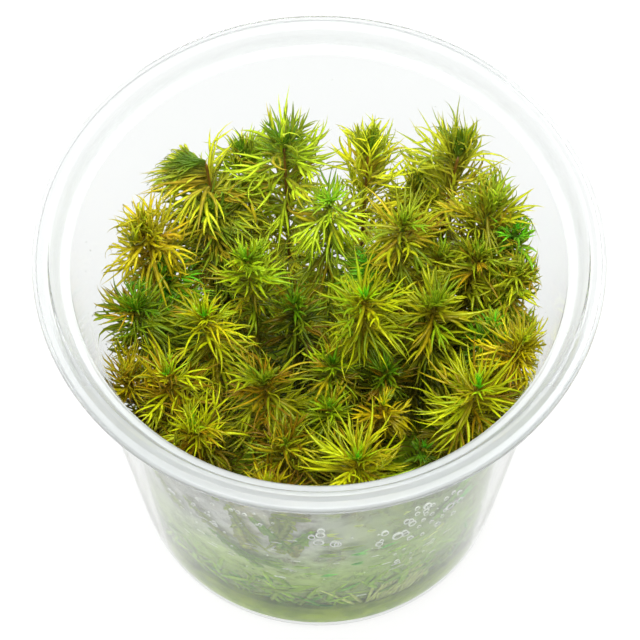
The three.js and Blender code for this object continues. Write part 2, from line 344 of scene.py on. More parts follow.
# Colours of the leaves of each kind of shoot, from the young centre to the oldest leaves at the bottom
tints = {
    "yellow": {"young": (0.05, 0.42, 0.006), "blade": (0.43, 0.49, 0.003), "old": (0.40, 0.38, 0.004),
               "base": (0.22, 0.10, 0.002), "youngEnd": 0.07},
    # The olive young colour is a dark green: partly the young leaves' own deep green, partly painted shade
    # where the tops are packed close
    "olive": {"young": (0.09, 0.19, 0.004), "blade": (0.33, 0.37, 0.003), "old": (0.34, 0.32, 0.004),
              "base": (0.15, 0.08, 0.002), "youngEnd": 0.20},
    "green": {"young": (0.05, 0.24, 0.004), "blade": (0.30, 0.44, 0.004), "old": (0.36, 0.36, 0.004),
              "base": (0.10, 0.15, 0.002), "youngEnd": 0.14},
    "bright": {"young": (0.03, 0.52, 0.012), "blade": (0.19, 0.43, 0.006), "old": (0.16, 0.30, 0.004),
               "base": (0.04, 0.22, 0.004), "youngEnd": 0.3},
    "dark": {"young": (0.04, 0.19, 0.003), "blade": (0.12, 0.18, 0.002), "old": (0.09, 0.11, 0.001),
             "base": (0.03, 0.06, 0.002), "youngEnd": 0.2},
    "rust": {"young": (0.12, 0.34, 0.006), "blade": (0.45, 0.38, 0.002), "old": (0.34, 0.25, 0.002),
             "base": (0.24, 0.07, 0.002), "youngEnd": 0.08},
}
# Leaves in the damp along the wall are younger and paler: partly their own pale young green, partly painted
# light that makes up for the light the wall keeps from them
wallTints = {
    "yellow": {"young": (0.82, 0.98, 0.26), "blade": (0.82, 0.98, 0.26), "old": (0.52, 0.58, 0.14),
               "base": (0.68, 0.90, 0.12)},
    "olive": {"young": (0.34, 0.56, 0.06), "blade": (0.34, 0.56, 0.06), "old": (0.36, 0.50, 0.06),
              "base": (0.30, 0.44, 0.05)},
    "green": {"young": (0.42, 0.74, 0.04), "blade": (0.42, 0.74, 0.04), "old": (0.26, 0.54, 0.04),
              "base": (0.24, 0.56, 0.03)},
    "bright": {"young": (0.14, 0.84, 0.05), "blade": (0.14, 0.84, 0.05), "old": (0.1, 0.6, 0.02),
               "base": (0.12, 0.66, 0.03)},
    "dark": {"young": (0.12, 0.46, 0.02), "blade": (0.12, 0.46, 0.02), "old": (0.1, 0.3, 0.01),
             "base": (0.14, 0.40, 0.03)},
}
warmColour = (0.36, 0.15, 0.003)        # of leaves that have turned orange-brown
coolColour = (0.09, 0.30, 0.004)        # and of those that have stayed a deep green
stemColours = {"yellow": (0.30, 0.24, 0.02), "brown": (0.26, 0.12, 0.015), "green": (0.12, 0.20, 0.02)}

# Leaves in the open are glossier, more warmly tipped and more unlike each other than those along the wall
leafFinish = {
    "open": {"gloss": 0.18, "warmTip": 0.35, "darkest": 0.36, "shadeDepth": 0.7},
    "wall": {"gloss": 0.02, "warmTip": 0.05, "darkest": 0.8, "shadeDepth": 0.0},
}
# Where the light in the stand changes, from one place to another in metres: X right, Y back, Z up
standLight = {
    "shadeFront": (-0.031, -0.025),         # little light gets down between the stems, from here
    "shadeBack": (0.014, 0.004),            # to here
    "shadeDown": (0.056, 0.045),
    "brownShade": (-0.002, -0.022),         # brown at the front, green behind
    "glowBack": (0.006, 0.024),             # light comes through the leaves at the back
    "glowRight": (0.024, 0.036),            # and less of it on the right
    "glowRightBack": (-0.010, 0.002),
    # painted shade: the young hearts at the back are painted dark
    "heartBack": (0.019, 0.025),            # the young hearts at the back are dark
}


def litInStand(tree, colour, axes, age, shadeDepth):
    x, y, z = axes["X"], axes["Y"], axes["Z"]
    light = standLight
    between = combined(tree, remap(tree, y, *light["shadeFront"]), remap(tree, y, *light["shadeBack"]))
    deep = combined(tree, between, remap(tree, z, *light["shadeDown"], 0.0, shadeDepth))
    brown = remap(tree, y, *light["brownShade"])
    shade = mixColours(tree, brown, (0.01, 0.022, 0.001), (0.05, 0.02, 0.001))
    colour = mixColours(tree, deep, colour, shade)
    right = remap(tree, x, *light["glowRight"], 0.0, 0.5)
    right = combined(tree, right, remap(tree, y, *light["glowRightBack"]))
    glow = combined(tree, remap(tree, y, *light["glowBack"]), right, "MAXIMUM")
    brighter = rampOf(tree, glow, [(0.0, (1, 1, 1)), (1.0, (1.75, 1.75, 1.2))])
    colour = mixColours(tree, 1.0, colour, brighter, "MULTIPLY")
    colour = mixColours(tree, remap(tree, glow, 0.0, 1.0, 0.0, 0.22), colour, (0.52, 0.54, 0.07))
    # painted shade: young leaves at the back are darkened towards deep green
    heart = combined(tree, remap(tree, age, 0.2, 0.06, 0.0, 0.85), remap(tree, y, *light["heartBack"]))
    return mixColours(tree, heart, colour, (0.04, 0.12, 0.004))


def grey(value):
    return value, value, value


def leafMaterial(name, tint, finish):
    material = bpy.data.materials.new(name)
    shader = shaderOf(material)
    shader.inputs["Roughness"].default_value = 0.34
    shader.inputs["Specular IOR Level"].default_value = finish["gloss"]
    shader.inputs["Subsurface Weight"].default_value = 0.28
    shader.inputs["Subsurface Radius"].default_value = (1.0, 1.0, 0.25)
    shader.inputs["Subsurface Scale"].default_value = 0.0012
    tree = material.node_tree
    age = addNode(tree, "ShaderNodeAttribute", attribute_name="age").outputs["Fac"]
    tone = addNode(tree, "ShaderNodeAttribute", attribute_name="tone").outputs["Fac"]
    uv = addNode(tree, "ShaderNodeSeparateXYZ")
    unwrap = addNode(tree, "ShaderNodeUVMap", uv_map="leafUV")
    tree.links.new(unwrap.outputs["UV"], uv.inputs["Vector"])
    across, along = uv.outputs["X"], uv.outputs["Y"]
    colour = rampOf(tree, age, [(0.02, tint["young"]), (tint.get("youngEnd", 0.14), tint["blade"]),
                                (0.6, tint["blade"]), (1.0, tint["old"])])
    colour = mixColours(tree, remap(tree, tone, 0.72, 1.0, 0.0, 0.8), colour, warmColour)
    colour = mixColours(tree, remap(tree, tone, 0.22, 0.0, 0.0, 0.6), colour, coolColour)
    colour = mixColours(tree, remap(tree, along, 0.50, 0.0, 0.0, 0.85), colour, tint["base"])
    colour = mixColours(tree, remap(tree, along, 0.82, 1.0, 0.0, finish["warmTip"]), colour, warmColour)
    rib = rampOf(tree, across, [(0.40, grey(0)), (0.5, grey(1)), (0.60, grey(0))])
    colour = mixColours(tree, rib, colour, mixColours(tree, 0.25, colour, (0.66, 0.62, 0.02)))
    chance = addNode(tree, "ShaderNodeTexWhiteNoise", noise_dimensions="1D")
    tree.links.new(tone, chance.inputs["W"])
    lightness = rampOf(tree, chance.outputs["Value"], [(0.0, grey(finish["darkest"])), (0.5, grey(0.90)),
                                                       (1.0, grey(1.36))])
    colour = mixColours(tree, 1.0, colour, lightness, "MULTIPLY")
    place, axes = objectPlace(tree)
    colour = litInStand(tree, colour, axes, age, finish["shadeDepth"])
    mottle = noiseOf(tree, place, 900.0, 2.0)
    shading = rampOf(tree, mottle, [(0.3, grey(0.72)), (0.7, grey(1.12))])
    colour = mixColours(tree, 1.0, colour, shading, "MULTIPLY")
    tree.links.new(colour, shader.inputs["Base Color"])
    addBump(tree, shader, mottle, 0.25, 0.0001)
    return material


def stemMaterial(name, colour):
    material = bpy.data.materials.new(name)
    shader = shaderOf(material)
    shader.inputs["Roughness"].default_value = 0.42
    tree = material.node_tree
    place = addNode(tree, "ShaderNodeTexCoord").outputs["Object"]
    darker = tuple(0.55 * part for part in colour)
    streaked = rampOf(tree, noiseOf(tree, place, 500.0, 2.0), [(0.35, darker), (0.65, colour)])
    tree.links.new(streaked, shader.inputs["Base Color"])
    return material


# Shoots, in mm and degrees: the place of the head and the longest leaf. lift raises all the leaves and
# lowerLift the lower ones, stretch spreads the whorls down the stem and leafy is how far down they go, curl
# bends the leaves up, and lush is their fullness. wind leans the top leaves to the right and back, over so
# many mm of stem, wild is how unruly they are, and warm is how many more have turned orange-brown
def shootOf(head, leaf, lift, tint, stem="yellow", stretch=1.0, leafy=50, curl=0.0, lush=1.0,
            wind=(0, 0, 12), wild=1.0, lowerLift=0.0, warm=0.0):
    return {"head": head, "leaf": leaf, "lift": lift, "tint": tint, "stem": stem, "stretch": stretch,
            "leafy": leafy, "curl": curl, "lush": lush, "wind": wind, "wild": wild, "lowerLift": lowerLift,
            "warm": warm}


shootTable = {
    "middle_shoot_1": shootOf((8.3, -0.3, 71), 12, 4, "yellow", lush=1.15, warm=-0.2),
    "middle_shoot_2": shootOf((-21, -2, 67), 11.5, 6, "yellow"),
    "middle_shoot_3": shootOf((21.3, 0.7, 67), 11, 2, "olive", lush=1.15, warm=-0.1),
    "middle_shoot_4": shootOf((-13.3, 10.4, 67), 9.5, 10, "green"),
    "middle_shoot_5": shootOf((-34, 1, 65), 11.5, 10, "dark", lush=1.4),
    "middle_shoot_6": shootOf((29.6, 10.3, 68), 11, 8, "olive", lush=1.3, wild=1.2),
    "middle_shoot_7": shootOf((32.4, -1, 63), 6.5, 14, "bright"),
    "middle_shoot_8": shootOf((-4.7, 6.1, 58), 9, 6, "dark"),
    "middle_shoot_9": shootOf((10, 14.2, 59), 7.5, 10, "bright"),
    "middle_shoot_10": shootOf((22.6, 13.4, 63), 9.5, 8, "olive"),
    "middle_shoot_11": shootOf((37, 8, 65), 11, 24, "olive", wild=1.5, lush=1.8),
    "middle_shoot_12": shootOf((-30, 11.5, 59), 11.5, 14, "bright", lush=1.6, wild=1.4),
    "front_shoot_1": shootOf((28.7, -16, 66), 13.5, 2, "yellow", lush=1.1, curl=10, warm=0.06),
    "front_shoot_2": shootOf((7, -28, 61), 13, 6, "yellow", lush=1.2, curl=6),
    "front_shoot_3": shootOf((-10, -13.8, 64), 12, 8, "olive", lush=1.15, wild=1.4, warm=0.12),
    "front_shoot_4": shootOf((-27.6, -12, 63), 12.5, 10, "yellow", lush=1.25, wild=1.8, curl=12, warm=0.15),
    "front_shoot_5": shootOf((36.8, -7.2, 66), 11, 22, "rust", wild=1.4, lush=1.5),
    "front_shoot_6": shootOf((-6.2, -24, 59), 12, 12, "olive", lush=1.3, wild=2.2, curl=20, warm=0.15),
    "front_shoot_7": shootOf((-23, -20.5, 59), 12.5, 14, "yellow", lush=1.5, wild=2.3, curl=24, warm=0.18),
    "front_shoot_8": shootOf((2.6, -6.5, 58), 8.5, 8, "green"),
    "front_shoot_9": shootOf((12.7, -7.3, 57), 8, 10, "dark"),
    "front_shoot_10": shootOf((2, -14.3, 55), 7.5, 12, "green"),
    "front_shoot_11": shootOf((11.9, -15.5, 58), 7.5, 16, "rust", wild=1.2),
    "front_shoot_12": shootOf((-9.5, -31, 54), 12.5, 12, "rust", lush=1.4, wild=2.0, curl=16, warm=0.15),
    "front_shoot_13": shootOf((-35.5, -10.5, 59), 12, 22, "rust", wild=1.8, curl=20, lush=1.5, warm=0.15),
    "front_shoot_14": shootOf((19.6, -19, 48), 5.0, 10, "bright", leafy=12, lush=0.7),
    "front_shoot_15": shootOf((37.5, 1.5, 56), 10.5, 20, "green", lush=1.9),
    "back_shoot_1": shootOf((-21, 26, 76), 13, 6, "olive", "brown", leafy=62, curl=-46, lush=1.9,
                            wind=(-2.8, 0.3, 8), wild=0.8, lowerLift=30),
    "back_shoot_2": shootOf((-13.9, 30.2, 71), 10.5, 14, "green", "brown", 1.1, leafy=56, curl=30, lush=1.7,
                            wind=(-0.2, 0.4, 12), wild=1.6, lowerLift=28),
    "back_shoot_3": shootOf((-6.5, 27.6, 79), 13, -26, "green", "brown", leafy=64, curl=46, lush=1.6,
                            wind=(0, 0.6, 34), wild=1.5, lowerLift=30),
    "back_shoot_4": shootOf((9.2, 28.5, 75), 12, 10, "yellow", "brown", leafy=60, curl=26, lush=1.2,
                            wind=(0.1, 0.7, 34), wild=1.8, lowerLift=20),
    "back_shoot_5": shootOf((25.5, 25.2, 79), 14.5, 10, "olive", "brown", leafy=64, curl=30, lush=1.6,
                            wind=(0.1, 0.8, 34), wild=2.0, lowerLift=22),
    "back_shoot_6": shootOf((31.2, 16.8, 74), 14, 4, "olive", "green", leafy=58, curl=24, lush=1.9,
                            wind=(0.3, 0.4, 14), wild=1.8, lowerLift=20),
    "back_shoot_7": shootOf((36.3, 13.6, 72), 7.5, 10, "bright", "green", 1.2, leafy=56, lush=1.2),
    "back_shoot_8": shootOf((2, 19.9, 72), 11, -22, "green", "green", leafy=56, curl=-6, lush=1.15),
    "back_shoot_9": shootOf((15.5, 14.5, 73), 11.5, 0, "olive", "green", leafy=56, curl=6, lush=1.15),
    "back_shoot_10": shootOf((-32.5, 14.5, 71), 13, 6, "rust", "brown", leafy=56, curl=40, lush=1.8,
                             wild=2.0, lowerLift=26),
    "back_shoot_11": shootOf((-20.8, 21, 66), 12, 6, "dark", "brown", leafy=52, curl=34, lush=1.8,
                             wild=1.7, lowerLift=28),
    "back_shoot_12": shootOf((18.7, 27.3, 65), 11.5, 12, "yellow", "green", leafy=52, curl=26, lush=2.0,
                             wild=1.5, lowerLift=34),
}

growth = {
    "rootDepth": 6.0,
    "footPull": 0.86,                   # a foot stands at this share of its head's distance from the axis
    "stemRadius": (0.46, 0.26),         # at the foot and under the bud
    "stemRings": 44,
    "stemSides": 8,
    "leafWidth": 0.76,
    "leafThickness": 0.22,
    "channel": 0.16,                    # how far a leaf's edges stand above its midline, of its width
    "lobeWidth": 0.74,                  # of the leaf's own width
    "leafSteps": 8,
    "lobeSteps": 4,
    "wallRoom": 0.25,                   # clearance to the cup's wall
    "frontRoom": 3.2,                   # and this much more at the front, where leaves turn away from it
    "wallSoft": 1.0,                    # leaves bend over this distance before the wall
}

# Whorls from the tip down: mm below the head, leaves, share of the longest leaf, rise and bend in degrees
whorls = [
    (0.0, 4, 0.20, 80, -4), (0.3, 4, 0.34, 74, -8), (0.7, 4, 0.50, 66, -14), (1.2, 4, 0.66, 56, -20),
    (2.0, 4, 0.80, 46, -26), (3.0, 4, 0.92, 36, -28), (4.2, 5, 1.00, 27, -30), (5.6, 5, 1.00, 19, -28),
    (7.4, 5, 1.00, 13, -26), (9.4, 5, 0.97, 9, -24), (12.0, 6, 0.94, 6, -20), (15.0, 6, 0.90, 4, -18),
    (18.4, 6, 0.88, 3, -16), (22.2, 7, 0.86, 2, -16), (26.4, 7, 0.84, 0, -16), (31.0, 7, 0.82, 0, -16),
    (36.0, 7, 0.80, 0, -16), (41.4, 6, 0.78, 0, -14), (47.0, 6, 0.74, 0, -14), (52.5, 6, 0.70, 2, -12),
    (58.0, 6, 0.66, 6, -10),
]


def stemPoints(shoot, count=61):
    head = np.array(shoot["head"], float)
    foot = np.array([head[0] * growth["footPull"], head[1] * growth["footPull"],
                     gelShape["depth"] - growth["rootDepth"]])
    bend = np.array([foot[0], foot[1], (foot[2] + head[2]) / 2])
    t = np.linspace(0, 1, count)[:, None]
    return (1 - t) ** 2 * foot + 2 * t * (1 - t) * bend + t ** 2 * head


def pointsBelow(path, below):
    lengths = np.linalg.norm(np.diff(path[::-1], axis=0), axis=1)
    travelled = np.concatenate([[0], np.cumsum(lengths)])
    return np.stack([np.interp(below, travelled, path[::-1][:, axis]) for axis in range(3)], axis=-1)


def headingsOf(azimuth, rise):
    return np.stack([np.cos(rise) * np.cos(azimuth), np.cos(rise) * np.sin(azimuth), np.sin(rise)], axis=-1)


leafU = np.array([0.0, 0.5, 1.0, 0.5])      # across a leaf, for the four corners of its section


# Every blade leaves its root on a heading, bends up or down and sideways, and tapers to its tip
def grownBlades(root, azimuth, rise, bend, sweep, roll, length, width, steps, twist=0.0, hook=0.0):
    rings = np.arange(steps) / steps
    middle = (rings + 0.5 / steps) ** 1.35
    hook = np.broadcast_to(hook, root.shape[:1])[:, None]
    travel = headingsOf(azimuth[:, None] + sweep[:, None] * middle,
                        rise[:, None] + bend[:, None] * middle + hook * middle ** 3)
    travel = np.cumsum(travel, axis=1) * (length / steps)[:, None, None]
    line = root[:, None, :] + np.concatenate([np.zeros((len(root), 1, 3)), travel], axis=1)
    turn = azimuth[:, None] + sweep[:, None] * rings ** 1.35
    along = headingsOf(turn, rise[:, None] + bend[:, None] * rings ** 1.35 + hook * rings ** 4)
    side = np.stack([-np.sin(turn), np.cos(turn), np.zeros_like(turn)], axis=-1)
    face = np.cross(along, side)
    turned = (twist + roll[:, None] * rings)[..., None]
    cosine, sine = np.cos(turned), np.sin(turned)
    side, face = side * cosine + face * sine, face * cosine - side * sine
    swell = 0.5 + 0.5 * np.sin(np.minimum(rings / 0.3, 1) * np.pi / 2)
    swell *= np.minimum((1 - rings) / 0.55, 1) ** 0.9
    half = (width[:, None] * swell / 2)[..., None]
    thick = growth["leafThickness"] / 2 * np.minimum(1, half / growth["leafWidth"] * 3)
    lift = growth["channel"] * 2 * half
    centre = line[:, :-1]
    section = np.stack([centre + side * half + face * lift, centre + face * thick,
                        centre - side * half + face * lift, centre - face * thick], axis=2)
    return section, line[:, -1], line


def sweptFaces(copies, rings, sides):
    each = rings * sides + 1
    r, j = np.meshgrid(np.arange(rings - 1), np.arange(sides), indexing="ij")
    k = (j + 1) % sides
    quads = np.stack([r * sides + j, r * sides + k, (r + 1) * sides + k, (r + 1) * sides + j], axis=-1)
    quads = quads.reshape(-1, 4)
    last = (rings - 1) * sides
    j = np.arange(sides)
    fan = np.stack([last + j, last + (j + 1) % sides, np.full(sides, each - 1)], axis=-1)
    cap = np.arange(sides)[::-1][None, :]
    start = (np.arange(copies) * each)[:, None, None]
    return [(start + part[None]).reshape(-1, part.shape[1]) for part in (quads, fan, cap)]


# Points moved in until they are clear of the wall and the gel, where the leaves lean against them
def keptInside(points, soft=growth["wallSoft"], room=growth["wallRoom"], inGel=False):
    out = points.copy()
    radius = np.hypot(points[:, 0], points[:, 1])
    if not inGel:
        room = room + growth["frontRoom"] * np.clip(-points[:, 1] / np.maximum(radius, 1e-6), 0, 1) ** 2
    start = wallRadius(cupShape["wall"] + room, points[:, 2]) - soft
    over = np.maximum(radius - start, 0)
    share = np.where(over > 0, (start + soft * (1 - np.exp(-over / soft))) / np.maximum(radius, 1e-6), 1)
    out[:, :2] *= share[:, None]
    if inGel:
        return out
    surface = gelShape["depth"] + 0.4
    deep = np.maximum(surface + 2 - points[:, 2], 0)
    out[:, 2] = np.where(deep > 0, surface + 2 * np.exp(-deep / 2), points[:, 2])
    return out


class MeshParts:

    def __init__(self):
        self.points, self.faces, self.slots = [], [], []
        self.uv, self.age, self.tone = [], [], []
        self.count = 0

    def add(self, rings, tips, startV, endV, age, tone, slot, acrossU):
        copies, ringCount, sides = rings.shape[:3]
        points = np.concatenate([rings.reshape(copies, -1, 3), tips[:, None]], axis=1)
        share = np.append(np.repeat(np.arange(ringCount) / ringCount, sides), 1.0)
        v = startV[:, None] + (endV - startV)[:, None] * share
        u = np.broadcast_to(np.append(np.tile(acrossU, ringCount), 0.5), v.shape)
        self.points.append(points.reshape(-1, 3))
        self.uv.append(np.stack([u, v], axis=-1).reshape(-1, 2))
        self.age.append(np.repeat(age, points.shape[1]))
        self.tone.append(np.repeat(tone, points.shape[1]))
        for part in sweptFaces(copies, ringCount, sides):
            self.faces.append(part + self.count)
            self.slots.append(np.full(len(part), slot))
        self.count += copies * points.shape[1]

    def build(self, name):
        points = np.concatenate(self.points)
        mesh = bpy.data.meshes.new(name)
        corners = np.concatenate([part.reshape(-1) for part in self.faces])
        totals = np.concatenate([np.full(len(part), part.shape[1]) for part in self.faces])
        mesh.vertices.add(len(points))
        mesh.vertices.foreach_set("co", (points * mm).astype(np.float32).reshape(-1))
        mesh.loops.add(len(corners))
        mesh.loops.foreach_set("vertex_index", corners.astype(np.int32))
        mesh.polygons.add(len(totals))
        starts = np.concatenate([[0], np.cumsum(totals)[:-1]])
        mesh.polygons.foreach_set("loop_start", starts.astype(np.int32))
        mesh.polygons.foreach_set("material_index", np.concatenate(self.slots).astype(np.int32))
        mesh.polygons.foreach_set("use_smooth", np.ones(len(totals), bool))
        mesh.update(calc_edges=True)
        unwrap = mesh.uv_layers.new(name="leafUV")
        unwrap.data.foreach_set("uv", np.concatenate(self.uv)[corners].astype(np.float32).reshape(-1))
        for key, values in (("age", self.age), ("tone", self.tone)):
            layer = mesh.attributes.new(key, "FLOAT", "POINT")
            layer.data.foreach_set("value", np.concatenate(values).astype(np.float32))
        piece = bpy.data.objects.new(name, mesh)
        bpy.context.collection.objects.link(piece)
        return piece


def leavesOf(shoot, path):
    rows = []
    for index, (below, number, reach, rise, bend) in enumerate(whorls):
        below *= shoot["stretch"]
        if below > shoot["leafy"]:
            break
        number = max(3, round(number * shoot["lush"]))
        phase = index * math.pi / number + luck.uniform(-0.3, 0.3)
        for k in range(number):
            rows.append((below, phase + 2 * math.pi * k / number, reach, rise, bend, index))
    below, azimuth, reach, rise, bend, index = np.array(rows).T
    count = len(rows)
    jitter = luck.normal(size=(count, 7))
    spread = np.clip(index / 4, 0.3, 1) * shoot["wild"]
    lift = shoot["lift"] + shoot["lowerLift"] * np.clip(below / 12 - 0.3, 0, 1)
    rise = np.radians(np.minimum(rise + lift + 13 * jitter[:, 2] * spread, 86))
    heading = headingsOf(azimuth + 0.26 * jitter[:, 1] * spread, rise)
    east, north, depth = shoot["wind"]
    heading[:, :2] += np.array([east, north]) * np.clip(1.2 - below[:, None] / depth, 0, 1)
    heading /= np.linalg.norm(heading, axis=1)[:, None]
    leaf = {
        "root": pointsBelow(path, below + 0.25 * np.abs(jitter[:, 0])),
        "azimuth": np.arctan2(heading[:, 1], heading[:, 0]),
        "rise": np.arcsin(heading[:, 2]),
        "bend": np.radians(bend + 36 * jitter[:, 3] * spread + shoot["curl"] * reach),
        "sweep": 0.70 * jitter[:, 4] * spread,
        "hook": np.radians(luck.normal(0, 38, count)) * spread,
        "roll": 0.8 * jitter[:, 5],
        "length": shoot["leaf"] * reach * np.clip(0.96 + 0.16 * jitter[:, 6], 0.5, 1.16),
        "age": np.clip((below + 0.6 * index) / 40, 0, 1),
        "tone": np.where(index < 3, 0.5, np.clip(luck.uniform(0, 1, count) + shoot["warm"], 0, 1)),
    }
    leaf["width"] = growth["leafWidth"] * luck.uniform(0.72, 1.12, count) * (0.55 + 0.45 * reach)
    leaf["width"] *= 1.08 - 0.12 * shoot["wild"] * (shoot["head"][1] < 0)      # finer at the unruly front
    return leaf


def addLobes(parts, leaf, line):
    count = len(leaf["length"])
    number = luck.choice([0, 1, 2, 3, 4, 5], size=count, p=[0.08, 0.16, 0.28, 0.26, 0.14, 0.08])
    number = np.where(leaf["length"] < 4.5, 0, number)
    owner = np.repeat(np.arange(count), number)
    order = np.arange(len(owner)) - np.repeat(np.cumsum(number) - number, number)
    hand = np.where(order % 2 == 0, 1.0, -1.0) * np.where(owner % 2 == 0, 1.0, -1.0)
    start = np.clip(0.18 + 0.13 * order + luck.uniform(-0.06, 0.08, len(owner)), 0.08, 0.8)
    steps = growth["leafSteps"]
    cell = start * steps
    low = np.floor(cell).astype(int)
    part = (cell - low)[:, None]
    root = line[owner, low] * (1 - part) + line[owner, low + 1] * part
    splay = hand * np.radians(luck.uniform(18, 42, len(owner)))
    turn = leaf["azimuth"][owner] + leaf["sweep"][owner] * start
    lean = leaf["rise"][owner] + leaf["bend"][owner] * start
    azimuth = turn + splay / np.maximum(np.cos(lean), 0.45)
    rise = lean + np.radians(luck.normal(4, 7, len(owner)))
    length = leaf["length"][owner] * (1 - start) * luck.uniform(0.62, 0.95, len(owner))
    section, tips, _ = grownBlades(root, azimuth, rise, leaf["bend"][owner] * 0.6, -splay * 0.75,
                                   luck.normal(0, 0.4, len(owner)), length,
                                   leaf["width"][owner] * growth["lobeWidth"], growth["lobeSteps"])
    parts.add(section, tips, start, np.ones(len(owner)), leaf["age"][owner], leaf["tone"][owner], 0, leafU)


def addStem(parts, shoot, path):
    rings, sides = growth["stemRings"], growth["stemSides"]
    height = np.linalg.norm(np.diff(path, axis=0), axis=1).sum()
    line = pointsBelow(path, np.linspace(1, 0, rings + 1) * height)
    tangent = np.gradient(line, axis=0)
    tangent /= np.linalg.norm(tangent, axis=1)[:, None]
    side = np.cross(tangent, np.array([0.0, 1.0, 0.0]))
    side /= np.linalg.norm(side, axis=1)[:, None]
    other = np.cross(tangent, side)
    angle = np.arange(sides) * 2 * math.pi / sides
    thick, thin = growth["stemRadius"]
    share = np.arange(rings) / rings
    radius = (thick + (thin - thick) * share) * (1 + 0.10 * np.sin(share * 60))
    cosine, sine = np.cos(angle)[None, :, None], np.sin(angle)[None, :, None]
    ring = side[:rings, None] * cosine + other[:rings, None] * sine
    ring = line[:rings, None] + ring * radius[:, None, None]
    one = np.ones(1)
    parts.add(ring[None], line[None, -1], 0 * one, one, 0.5 * one, 0.5 * one, 1, angle / (2 * math.pi))


def addLeaves(parts, leaf, steps=growth["leafSteps"], twist=0.0):
    section, tips, line = grownBlades(leaf["root"], leaf["azimuth"], leaf["rise"], leaf["bend"],
                                      leaf["sweep"], leaf["roll"], leaf["length"], leaf["width"], steps,
                                      twist, leaf.get("hook", 0.0))
    count = len(tips)
    parts.add(section, tips, np.zeros(count), np.ones(count), leaf["age"], leaf["tone"], 0, leafU)
    return line


def makeShoot(name, shoot):
    path = stemPoints(shoot)
    parts = MeshParts()
    addStem(parts, shoot, path)
    leaf = leavesOf(shoot, path)
    line = addLeaves(parts, leaf)
    addLobes(parts, leaf, line)
    parts.points = [parts.points[0]] + [keptInside(points) for points in parts.points[1:]]
    piece = parts.build(name.replace("_", "-") + "-leafy")
    piece.data.materials.append(leafMaterials[shoot["tint"]])
    piece.data.materials.append(stemMaterials[shoot["stem"]])
    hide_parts(name)
    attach(piece, "root")
    return sum(len(polygon.vertices) - 2 for polygon in piece.data.polygons)


# Dew on the inside of the wall: patches of drops by angle from the front and height, in degrees and mm
dewPatches = [
    {"angle": (24, 38), "height": (46, 64), "count": 24, "radius": (0.45, 1.0)},
    {"angle": (15, 24), "height": (50, 60), "count": 9, "radius": (0.5, 1.15)},
    {"angle": (-2, 9), "height": (52, 63), "count": 6, "radius": (0.55, 1.0)},
    {"angle": (20, 32), "height": (34, 44), "count": 9, "radius": (0.3, 0.65)},
    {"angle": (-22, -10), "height": (58, 70), "count": 14, "radius": (0.2, 0.5)},
    {"angle": (-44, -26), "height": (44, 66), "count": 22, "radius": (0.2, 0.6)},
    {"angle": (-180, 180), "height": (24, 78), "count": 110, "radius": (0.1, 0.3)},
]
# Films of water that hang in short level streaks: longer than they are high
streakPatches = [
    {"angle": (-12, -4), "height": (31, 61), "count": 6, "radius": (0.16, 0.28)},
    {"angle": (-36, -13), "height": (31, 56), "count": 8, "radius": (0.14, 0.24)},
    {"angle": (8, 34), "height": (28, 44), "count": 9, "radius": (0.12, 0.22)},
    {"angle": (-60, 60), "height": (20, 50), "count": 9, "radius": (0.10, 0.18)},
]


# Clear water drops with a painted highlight: an opaque white ring round each drop's edge, clear in the
# middle
def clearWaterMaterial():
    material = bpy.data.materials.new("clearWater")
    shader = shaderOf(material)
    shader.inputs["Base Color"].default_value = (0.97, 1.0, 0.95, 1)
    shader.inputs["IOR"].default_value = 1.33
    shader.inputs["Roughness"].default_value = 0.0
    tree = material.node_tree
    unwrap = addNode(tree, "ShaderNodeUVMap", uv_map="leafUV")
    inward = addNode(tree, "ShaderNodeSeparateXYZ")
    tree.links.new(unwrap.outputs["UV"], inward.inputs["Vector"])
    # painted highlight: the drop's edge is made an opaque white ring
    edge = [(0.02, grey(1)), (0.05, grey(0)), (0.4, grey(0)), (0.6, grey(1))]       # the edge is white
    clear = rampOf(tree, inward.outputs["Y"], edge)
    tree.links.new(clear, shader.inputs["Transmission Weight"])
    return material


dropShape = {
    # from the flat side in the wall over the edge to the dome: share of the radius and of the depth
    "rings": np.array([(0.62, 0.0), (1.0, 0.0), (0.92, 0.40), (0.72, 0.70), (0.40, 0.92)]),
    "sides": 12,
    "swell": 0.85,                      # height of the dome, of the drop's radius
    "sunk": 0.08,                       # mm into the wall
}


def addDrops(parts, patch, stretch, tall=1.0):
    count, sides, sunk = patch["count"], dropShape["sides"], dropShape["sunk"]
    small, large = patch["radius"]
    angle = np.radians(luck.uniform(*patch["angle"], count))
    height = luck.uniform(*patch["height"], count)
    radius = small + (large - small) * luck.uniform(size=count) ** 2
    wide = radius * luck.uniform(*stretch, count)
    outer = wallRadius(cupShape["wall"] - sunk, height)
    zero = np.zeros(count)
    centre = np.stack([outer * np.sin(angle), -outer * np.cos(angle), height], axis=-1)
    inward = np.stack([-np.sin(angle), np.cos(angle), zero], axis=-1)
    left = np.stack([-np.cos(angle), -np.sin(angle), zero], axis=-1)
    up = np.stack([wallSlope * np.sin(angle), -wallSlope * np.cos(angle), zero + 1], axis=-1)
    around = np.arange(sides)[None, :] * 2 * math.pi / sides
    flat = radius * dropShape["swell"] + sunk
    level = dropShape["rings"][:, :1] * np.cos(around)
    rise = dropShape["rings"][:, :1] * np.sin(around)
    depth = dropShape["rings"][:, 1:] * np.ones(sides)
    ring = centre[:, None, None] + level[..., None] * (wide[:, None] * left)[:, None, None]
    ring = ring + rise[..., None] * (tall * radius[:, None] * up)[:, None, None]
    ring = ring + depth[..., None] * (flat[:, None] * inward)[:, None, None]
    tip = centre + flat[:, None] * inward
    parts.add(ring, tip, zero, zero + 1, zero, zero, 0, np.linspace(0, 1, sides))


# The breath of fine dew on the front of the wall, behind the leaves that touch it, in mm and degrees
dewFilm = {"low": 13.0, "high": 77.0, "inset": 1.3, "thickness": 0.05, "reach": 80, "steps": 60}


